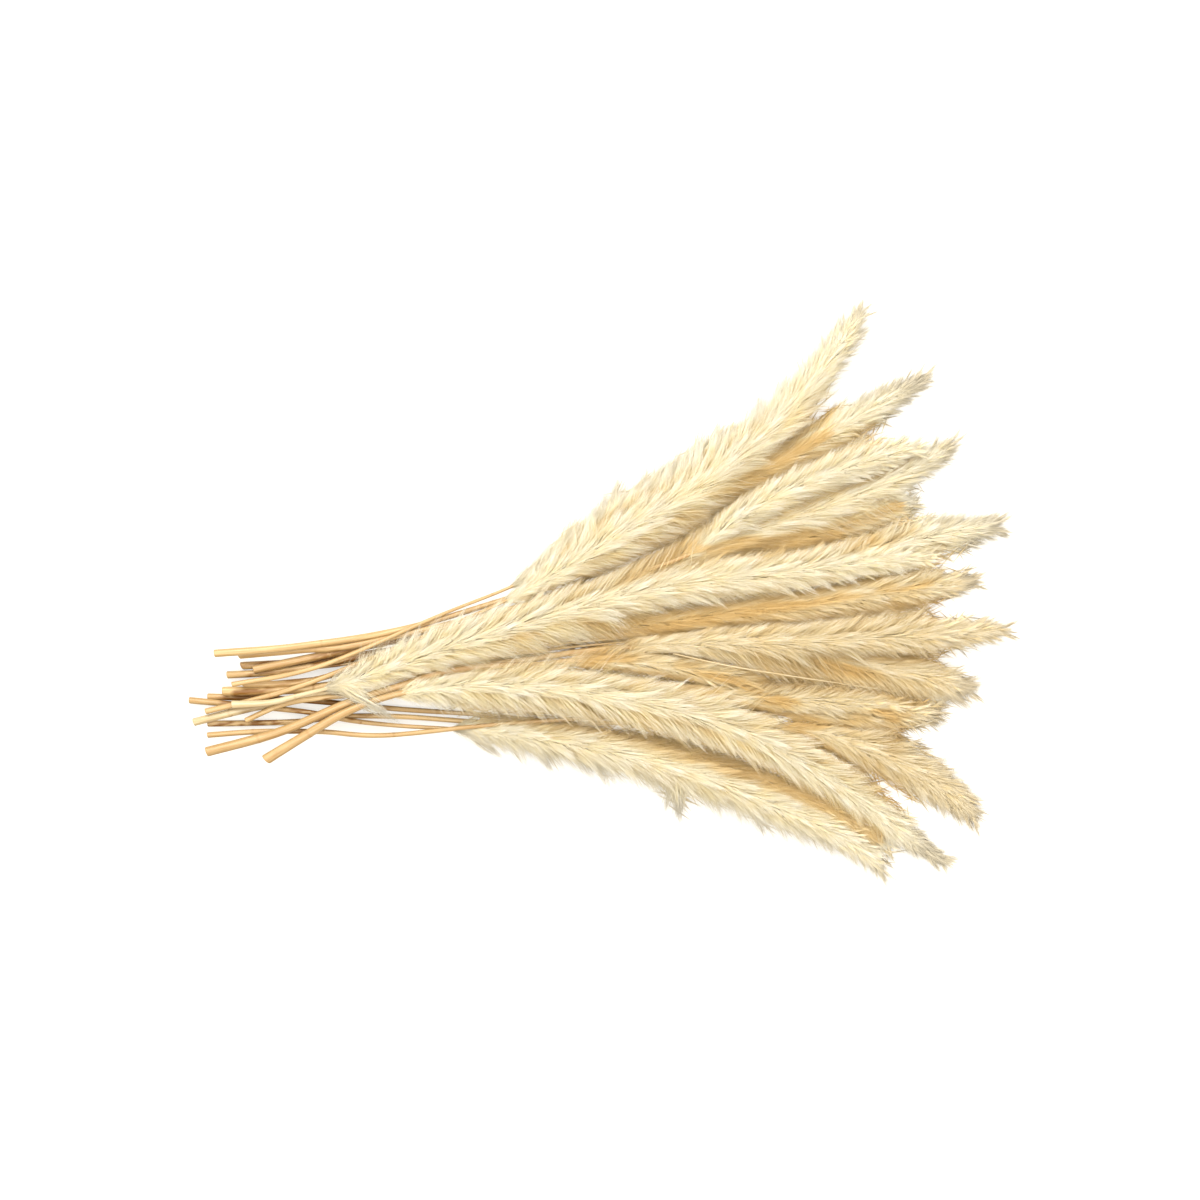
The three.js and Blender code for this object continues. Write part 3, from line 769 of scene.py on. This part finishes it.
def growSpikes(stalk, rng):
    amount, count = spikes["amount"], spikes["hairs"]
    reach = stalk["length"] - rng.uniform(*spikes["from"], amount)
    turn = np.arange(amount) * goldenTurn
    start, along, outward = hairPoints(stalk, reach, turn, brushAt(stalk, reach) * spikes["out"])
    slant = rng.uniform(*spikes["slant"], amount)[:, None]
    length = rng.uniform(*spikes["length"], amount)[:, None]
    goal = start + (along * np.cos(slant) + unit(outward) * np.sin(slant)) * length
    start, goal = np.repeat(start, count, 0), np.repeat(goal, count, 0)
    hairs = growBundle(start, goal, spikes["width"], growth["width"], rng)
    tones = np.repeat(rng.random(amount) * 0.6, count)
    hairTones = np.repeat(rng.random(amount), count) * 0.6 + 0.4 * rng.random(amount * count)
    return *hairs, hairMarks(1, tones, hairTones)


# loose hairs that lie low where the fur is thin
shedding = {
    "layers": (1.0, 10.0),  # they lie where this much hair is over each bit of table, as its area
    "closing": 4,  # half the width of the gaps that count as inside the bunch, in cells
    "edge": 2,  # how far inside its outline they lie, in cells
    "hairs": 1500,  # tried, all along a plume: those whose middle isn't in a thin place are left out
    "reach": 2.0,  # how far to the side they fall, to the fur's half width
    "height": 4.0,  # over the table at most
    "length": (12.0, 20.0),
    "turn": 0.35,  # how far they turn away from the plume's direction, in radians
    "width": (0.25, 0.4),  # half the width of a hair
}


def mapThin(fields, hairs):
    # the places inside the bunch where the fur could let the table through, by the area of all hairs
    # over a cell, each half of its width times its length, to the cell's own
    root, left, right, tip = [hairs.reshape(-1, 4, 3)[:, i] for i in range(4)]
    area = np.linalg.norm(left - right, axis=1) * np.linalg.norm(tip - root, axis=1) / 2
    cover = np.zeros(fields.shape[1:3])
    low, cell = territory["low"], territory["cell"]
    places = (0.1, 0.3, 0.5, 0.7, 0.9)
    for share in places:
        x, y, _ = np.rint((root + (tip - root) * share - low) / cell).astype(int).T
        np.add.at(cover, (x, y), area / len(places) / cell**2)
    inside = ~widen(~closeGaps(cover > 1, shedding["closing"]), shedding["edge"])
    thin = inside & (cover > shedding["layers"][0]) & (cover < shedding["layers"][1])
    print("thin places:", int(thin.sum() * cell**2), "square millimetres")
    return np.repeat(thin[..., None], fields.shape[3], 2)


def shedHairs(stalk, thin, rng):
    # loose hairs that lie low under the thin fur at a plume's sides, roughly along it
    count = shedding["hairs"]
    reach = stalk["plumeStart"] + stalk["plumeLength"] * rng.random(count)
    centre, along, across, _ = frameAt(stalk, reach)
    beside = rng.uniform(-1, 1, count) * shedding["reach"] * stalk["fur"]
    middle = centre + across * beside[:, None]
    middle[:, 2] = growth["tableGap"] + shedding["height"] * rng.random(count)**1.5
    heading = rng.normal(0, shedding["turn"], count) + 0.3 * np.sign(beside)
    half = rng.uniform(*shedding["length"], count) / 2
    step = (along * np.cos(heading)[:, None] + across * np.sin(heading)[:, None]) * half[:, None]
    step[:, 2] = rng.normal(0, 0.6, count)
    kept = lookUp(thin, middle)
    count = kept.sum()
    root, tip = (middle - step)[kept], (middle + step)[kept]
    keepInside(root, tip, growth["tableGap"])
    hairs = makeHairs(root, tip, upwards(count), rng.uniform(*shedding["width"], count))
    return *hairs, hairMarks(0, rng.random(count), rng.random(count))


heart = {
    "sides": 18,
    "step": 2.5,
    "width": 0.27,  # to the fur's half width
    "knots": 0.16,  # to its own width
    "reach": 0.9,  # share of the plume that it runs through
}


def growHeart(stalk, rng):
    # the dense middle: a tube whose radius swells and shrinks with each tuft of roots
    rows = int(stalk["plumeLength"] * heart["reach"] / heart["step"])
    reach = stalk["plumeStart"] + np.linspace(0, heart["reach"], rows) * stalk["plumeLength"]
    s, a = np.meshgrid(reach, turnsOf(heart["sides"]), indexing="ij")
    waves = sum(np.sin(s * rng.uniform(0.3, 1.1) + a * n + rng.uniform(0, 6)) for n in (1, 2, 3, 4))
    out = heart["width"] * furAt(stalk, plumeShare(stalk, s)) * (1 + heart["knots"] * waves / 2)
    out = np.maximum(out * smoothStep(s - stalk["plumeStart"], -6, growth["opening"][2]), 0.5)
    ends = frameAt(stalk, reach[[0, -1]] + [-1, 2])[0]
    points, triangles = closedTube(hairPoints(stalk, s, a, out)[0], ends)
    points[:, 2] = np.maximum(points[:, 2], growth["tableGap"])
    return points, triangles, np.tile([0.1, 0.5, 0.5, 1.0], (len(points), 1))


def joinParts(parts):
    points, triangles, marks = zip(*parts)
    bases = np.cumsum([0] + [len(part) for part in points])
    triangles = [part + base for part, base in zip(triangles, bases)]
    return np.concatenate(points), np.concatenate(triangles), np.concatenate(marks)


# how open the fur is to the sky, by which its colour paints shade: golden in valleys and deep in the fur,
# grey at the bunch's outline
sky = {
    "cell": 1.5,
    "margin": 20.0,  # empty room round the bunch
    "covered": 6.0,  # height from which a cell counts as inside the bunch, in millimetres
    "closing": 4,  # half the width of the gaps that count as inside it, in cells
    "rounds": 3,  # of averaging, each over a cell and its four neighbours
    "walls": [(3, 0), (0, 3), (2, 3), (2, -3), (6, 0), (0, 6), (4, 5), (4, -5)],  # looked at, in cells
    "valley": (-6.0, 0.8),  # the fur's height over the lower of two opposite walls: dark, then open
    "depth": (-9.0, -1.5),  # a hair's height under the top of the fur: dark, then open
    "buried": 0.3,  # how open the deepest hair is, where there is no valley
    "edgeRounds": (36, 84),  # of averaging the inside: for the outline's tone, and more for what is near
    "edge": (0.6, 0.97),  # share of the inside round a place: at the outline, then well inside it
}

# how far the fur's shading leans up, and how it differs from hair to hair
softness = {"up": 0.75, "scatter": 0.22}


def average(field, rounds):
    for _ in range(rounds):
        field = (field + sum(neighbours(field))) / 5
    return field


def heightMap(points, index, margin):
    # the highest of the points in every cell, and the cell of each point
    place = (index[:, 0], index[:, 1])
    height = np.zeros(index.max(0) + margin)
    np.maximum.at(height, place, points[:, 2])
    return height, place


def lowerWalls(height, steps):
    # for every cell, the lower of the two walls that stand opposite each other, where it is highest
    walls = [np.minimum(np.roll(height, step, (0, 1)), np.roll(height, (-step[0], -step[1]), (0, 1)))
             for step in steps]
    return np.max(walls, 0)


def splitAs(clouds, values):
    return np.split(values, np.cumsum([len(cloud) for cloud in clouds])[:-1])


def skySeen(clouds):
    # how open each point is, for the shade painted into the fur's colour: low in the valleys between
    # plumes, where the lower of two opposite walls is high, and low deep in the fur
    points = np.concatenate(clouds)
    low = points[:, :2].min(0) - sky["margin"]
    index = ((points[:, :2] - low) / sky["cell"]).astype(int)
    height, place = heightMap(points, index, math.ceil(sky["margin"] / sky["cell"]))
    height = average(height, sky["rounds"])
    share = average(closeGaps(height > sky["covered"], sky["closing"]) * 1.0, sky["edgeRounds"][0])
    wideShare = average(share, sky["edgeRounds"][1])
    valley = smoothStep((height - lowerWalls(height, sky["walls"]))[place], *sky["valley"])
    depth = smoothStep(points[:, 2] - height[place], *sky["depth"])
    outline = 1 - smoothStep(share[place], *sky["edge"])
    near = 1 - smoothStep(wideShare[place], *sky["edge"])
    seen = np.maximum(valley * (sky["buried"] + (1 - sky["buried"]) * depth), near) + outline
    return splitAs(clouds, np.where(outline > 0, np.maximum(seen, 1 + outline), np.minimum(seen, 1)))


def softNormals(stalk, points, rng):
    # away from the plume's own middle line and a little up, with some scatter from hair to hair,
    # so that light falls on the fur as on one soft body
    axis = stalk["axis"][stalk["inPlume"]]
    nearest = np.empty(len(points), int)
    for part in np.array_split(np.arange(len(points)), 8):  # in turn, to save memory
        nearest[part] = ((axis**2).sum(1)[None] - 2 * points[part] @ axis.T).argmin(1)
    outward = (points - axis[nearest]) / stalk["fur"]
    outward[:, 2] = np.maximum(outward[:, 2], 0)
    scatter = np.repeat(rng.normal(0, softness["scatter"], (len(points) // 4 + 1, 3)), 4, 0)
    normals = outward + [0, 0, softness["up"]] + scatter[:len(points)]
    return unit(normals)


def makePlumes():
    fields = mapTerritories()
    gaps = mapGaps(fields)
    print("mapped the room that each stalk has")
    rng = np.random.default_rng(18)
    grown = []
    for k, stalk in enumerate(stalks):
        room = fields[k], rivalField(fields, k), gaps
        parts = [growHeart(stalk, rng), growFur(stalk, room, rng), growFeathers(stalk, room, rng),
                 growSpikes(stalk, rng)]
        parts += [growTuft(stalk, rng, *tuft) for tuft in tufts.get(stalk["name"], [])]
        grown.append(parts)
    thin = mapThin(fields, np.concatenate([part[0] for parts in grown for part in parts[1:]]))
    grown = [joinParts(parts + [shedHairs(stalk, thin, rng)]) for stalk, parts in zip(stalks, grown)]
    print("grew", sum(len(triangles) for _, triangles, _ in grown), "triangles of fur")
    openness = skySeen([points for points, _, _ in grown])
    for stalk, (points, triangles, marks), seen in zip(stalks, grown, openness):
        marks[:, 3] = seen
        slot = "beige_fur" if stalk["name"] in beigePlumes else "ivory_fur"
        piece = makePiece("fur_" + stalk["name"], points, triangles, furMaterials[slot], marks,
                          normals=softNormals(stalk, points, rng))
        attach(piece, "root")
        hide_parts("plume_" + stalk["name"])
        print("plume", stalk["name"], len(triangles))


makePlumes()

# ---- the straw culms

# the dark colour is that of the joints and of darker culms, and also painted shade where a straw lies low
# between its neighbours
strawLooks = {
    "straw": {"pale": "#C4AA7C", "straw": "#AB8A58", "dark": "#80561F", "pith": "#AC8850"},
    "sheathed_straw": {"pale": "#C8BA9A", "straw": "#B29C72", "dark": "#86663A", "pith": "#A4834F"},
}


def makeStrawMaterial(name, looks):
    # marks: reach along the culm in decimetres, turn round it, joint or cut end, the culm's tone
    material, tree, shader = newMaterial(name)
    colours = {key: linearColour(code) for key, code in looks.items()}
    reach, turn, joint, tone = readMarks(tree)
    angle = tree.times(turn, 2 * math.pi)
    round_ = tree.add("ShaderNodeCombineXYZ", {0: tree.math("COSINE", angle), 1: tree.math("SINE", angle),
                                               2: tree.times(reach, 1.2)}).outputs[0]
    lift = tree.add("ShaderNodeCombineXYZ", {2: tree.times(tone, 37.0)}).outputs[0]
    place = tree.add("ShaderNodeVectorMath", {0: round_, 1: lift}, operation="ADD").outputs[0]
    lines = tree.add("ShaderNodeTexNoise", {"Vector": place, "Scale": 3.2, "Detail": 5.0,
                                            "Roughness": 0.65}).outputs["Fac"]
    body = tree.mix(tree.range(lines, 0.35, 0.68), colours["straw"], colours["pale"])
    body = drift(tree, body, colours["dark"], 60.0, 0.16)
    body = tree.mix(tree.range(tone, 0.0, 1.0, 0.0, 0.3), body, colours["dark"])
    openness = tree.add("ShaderNodeAttribute", attribute_name="openness").outputs["Fac"]
    # painted shade: the straw darkens where it lies low between its neighbours
    body = tree.mix(openness, colours["dark"], body)
    body = tree.mix(tree.range(joint, 0.0, 0.5, 0.0, 0.25), body, colours["dark"])
    body = tree.mix(tree.range(joint, 0.55, 0.9), body, colours["pith"])
    roughness = tree.range(lines, 0.3, 0.7, 0.5, 0.36)
    bump = tree.add("ShaderNodeBump", {"Strength": 0.25, "Distance": 0.0002, "Height": lines})
    tree.feed(shader, {"Base Color": body, "Roughness": roughness, "Normal": bump.outputs[0]})
    return material


strawMaterials = {name: makeStrawMaterial(name, looks) for name, looks in strawLooks.items()}

culms = {
    "sides": 20,
    "straySides": 6,
    "step": 3.0,
    "tableGap": 0.02,  # the least height over the table
    "fuller": 1.2,  # a round culm is fuller than the solid with flat facets
    "cutProfile": [(0.5, 0.4), (0.1, 0.62), (0.0, 0.85), (0.12, 0.97), (0.35, 1.0)],  # reach, width
    "jointSpacing": (58.0, 96.0),
    "jointSwell": 0.04,
    "jointLength": 1.3,
    "intoPlume": 0.3,  # share of the plume that the culm runs on into, as its rachis
    "strays": {  # thin dry blades beside a culm: half their width, and their route
        "06": [(0.45, [(40, -36, 17), (70, -42.5, 22), (100, -47.5, 23), (130, -52, 22), (154, -55.5, 20)])],
        "12": [(1.0, [(-66, -38.5, 9), (-20, -33, 10), (28, -28.5, 11)]),
               (0.9, [(-190, -53, 4), (-150, -49, 5), (-100, -41, 7), (-60, -35, 8)])],
        "13": [(0.8, [(-58, -34.5, 8), (-10, -29.5, 9), (26, -27, 10)])],
        "05": [(0.9, [(-186, -46.5, 4), (-140, -42, 5), (-95, -33, 7), (-50, -22, 8)])],
    },
    "margin": 12,  # empty room round the stems when neighbours are looked for, in millimetres
    "walls": [(0, 3), (0, 5), (0, 8), (2, 4), (-2, 4)],  # where they are looked for, in millimetres
    # the painted shade between the straws:
    "shade": (-5.0, 0.8),  # height over the lower of two neighbours where a straw is darkest, palest
    "slants": {"13": 1.3, "05": 0.5, "09": 0.4, "17": 0.3},  # cut ends that aren't square
}


def growCulm(stalk, rng):
    # a profile carried along the culm: a hollowed cut end, then a taper with swollen joints
    end = stalk["plumeStart"] + culms["intoPlume"] * stalk["plumeLength"]
    body = np.arange(culms["cutProfile"][-1][0] + 0.6, end, culms["step"])
    joints = np.cumsum(rng.uniform(*culms["jointSpacing"], 8)) - rng.uniform(10, 60)
    joints = joints[(joints > 12) & (joints < stalk["plumeStart"] - 10)]
    near = joints[:, None] + np.linspace(-1.5, 1.5, 7)[None] * culms["jointLength"]
    body = np.unique(np.concatenate([body, near.ravel()]))
    cutReach, cutWidth = zip(*culms["cutProfile"])
    reach = np.concatenate([cutReach, body])
    shape = np.concatenate([cutWidth, np.ones(len(body))])
    width = culmRadius(stalk, reach) * culms["fuller"]
    width = np.where(reach < stalk["sheathEnd"], width - laying["sheathThickness"], width)
    inside = np.clip((reach - stalk["plumeStart"]) / (end - stalk["plumeStart"]), 0, 1)
    width = width * shape * (1 - 0.6 * inside)
    closeness = np.zeros(len(reach))
    for joint in joints:
        closeness = np.maximum(closeness, np.exp(-((reach - joint) / (culms["jointLength"] * 0.6)) ** 2))
    width = width * (1 + culms["jointSwell"] * closeness)
    width = width * (1 + 0.015 * np.sin(reach / 7 + rng.uniform(0, 6)))
    s, a = np.meshgrid(reach, turnsOf(culms["sides"]), indexing="ij")
    out = np.repeat(width[:, None], culms["sides"], 1)
    slant = culms["slants"].get(stalk["name"], 0.12) * np.cos(a + 0.8) * out
    s = s + slant * (s < 4) * (1 - s / 4)
    centre, _, across, up = frameAt(stalk, s)
    points = centre + across * (np.cos(a) * out)[..., None] + up * (np.sin(a) * out)[..., None]
    points, triangles = closedTube(points, frameAt(stalk, reach[[0, -1]] + [0.1, 1])[0])
    points[:, 2] = np.maximum(points[:, 2], culms["tableGap"])
    marks = np.zeros((len(reach), culms["sides"], 4))
    marks[..., 0] = s / 100
    marks[..., 1] = a / (2 * math.pi)
    marks[..., 2] = np.maximum(closeness * 0.5, 0)[:, None]
    marks[:3, :, 2] = 1
    marks = np.concatenate([marks.reshape(-1, 4), [[0, 0, 1, 0], [reach[-1] / 100, 0, 0, 0]]])
    marks[:, 3] = rng.random()
    return points, triangles, marks


def growStray(half, route):
    # a thin dry blade that left the culm: a round profile that narrows, along a gentle arc
    route = np.array(route, float)
    t = np.linspace(0, 1, 40)
    centre = routePoint(route, t)
    along = unit(np.gradient(centre, axis=0))
    side = unit(np.cross(along, [0.0, 0.0, 1.0]))
    turn = turnsOf(culms["straySides"])[:, None]
    around = side[:, None] * np.cos(turn) + np.cross(side, along)[:, None] * np.sin(turn)
    width = half * (1 - 0.75 * t**2)
    points, triangles = closedTube(centre[:, None] + width[:, None, None] * around, centre[[0, -1]])
    marks = np.tile([0.5, 0.3, 0.0, 0.1], (len(points), 1))
    marks[:-2, 0] = np.repeat(t, culms["straySides"])
    return points, triangles, marks


def culmsOpenness(clouds):
    # how far each point lies under the straws that stand on both sides of it, for the shade painted
    # into the straws' colour
    points = np.concatenate(clouds)
    index = np.floor(points[:, :2] - points[:, :2].min(0)).astype(int) + culms["margin"]
    height, place = heightMap(points, index, culms["margin"] + 1)
    over = points[:, 2] - lowerWalls(height, culms["walls"])[place]
    return splitAs(clouds, smoothStep(over, *culms["shade"]))


def makeCulms():
    rng = np.random.default_rng(45)
    grown = [growCulm(stalk, rng) for stalk in stalks]
    grown = [joinParts([culm] + [growStray(*stray) for stray in culms["strays"].get(stalk["name"], [])])
             for stalk, culm in zip(stalks, grown)]
    openness = culmsOpenness([points for points, _, _ in grown])
    for stalk, (points, triangles, marks), seen in zip(stalks, grown, openness):
        slot = "sheathed_straw" if stalk["sheathEnd"] else "straw"
        piece = makePiece("stem_" + stalk["name"], points, triangles, strawMaterials[slot], marks, seen)
        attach(piece, "root")
        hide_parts("culm_" + stalk["name"])
    print("made", len(stalks), "culms")


makeCulms()

# ---- table, light and camera

studio = {
    "tableSize": 6.0,
    "tableTone": 0.44,
    "tableGlow": 0.6,
    "ambient": 0.85,
    "ambientColour": (1.0, 0.92, 0.79, 1),  # light that comes back off a pale warm room
    "softbox": (3.0, 84.0, (1.0, 0.985, 0.95), (0, 0, 2.3)),  # size, power, colour and place
    "key": (1.1, 31.0, (1.0, 0.98, 0.94), (-0.45, 1.25, 1.35)),
    "viewWidth": 0.66,  # what the picture takes in, at the height of the plumes' middle
    "viewHeight": 0.012,
    "viewCentre": (0.0, -0.0066),
    "cameraDistance": 1.8,
    "sensor": 36.0,
}


def makeTable():
    half = studio["tableSize"] / 2
    mesh = bpy.data.meshes.new("table")
    corners = [(-half, -half, 0), (half, -half, 0), (half, half, 0), (-half, half, 0)]
    mesh.from_pydata(corners, [], [(0, 1, 2, 3)])
    table = addObject("table", mesh)
    material, tree, shader = newMaterial("paleTable")
    tone = studio["tableTone"]
    place = tree.add("ShaderNodeTexCoord").outputs["Object"]
    grain = tree.add("ShaderNodeTexNoise", {"Vector": place, "Scale": 8.0}).outputs["Fac"]
    colour = tree.mix(grain, (tone, 0.96 * tone, 0.88 * tone, 1), (tone, 0.97 * tone, 0.9 * tone, 1))
    seen = tree.add("ShaderNodeLightPath").outputs["Is Camera Ray"]
    glow = tree.times(seen, studio["tableGlow"])
    tree.feed(shader, {"Base Color": colour, "Roughness": 0.9, "Specular IOR Level": 0.1,
                       "Emission Color": (1, 0.98, 0.94, 1), "Emission Strength": glow})
    mesh.materials.append(material)


def makeLights():
    world = bpy.data.worlds.new("studio")
    world.use_nodes = True
    tree = NodeTree(world.node_tree)
    seen = tree.add("ShaderNodeLightPath").outputs["Is Camera Ray"]
    colour = tree.mix(seen, studio["ambientColour"], (1, 1, 1, 1))
    tree.feed(world.node_tree.nodes["Background"], {0: colour, 1: studio["ambient"]})
    bpy.context.scene.world = world
    for name in ("softbox", "key"):
        light = bpy.data.lights.new(name, "AREA")
        light.size, light.energy, light.color, place = studio[name]
        lamp = addObject(name, light)
        lamp.location = place
        x, y, z = place
        lamp.rotation_euler = (-math.atan2(math.hypot(x, y), z), 0, math.atan2(-x, y))


def makeCamera():
    data = bpy.data.cameras.new("camera")
    data.sensor_width = studio["sensor"]
    data.lens = studio["sensor"] * studio["cameraDistance"] / studio["viewWidth"]
    camera = addObject("camera", data)
    camera.location = (*studio["viewCentre"], studio["viewHeight"] + studio["cameraDistance"])
    bpy.context.scene.camera = camera


makeTable()
makeLights()
makeCamera()
bpy.context.scene.view_settings.view_transform = "Standard"
print("set the table, the lights and the camera")
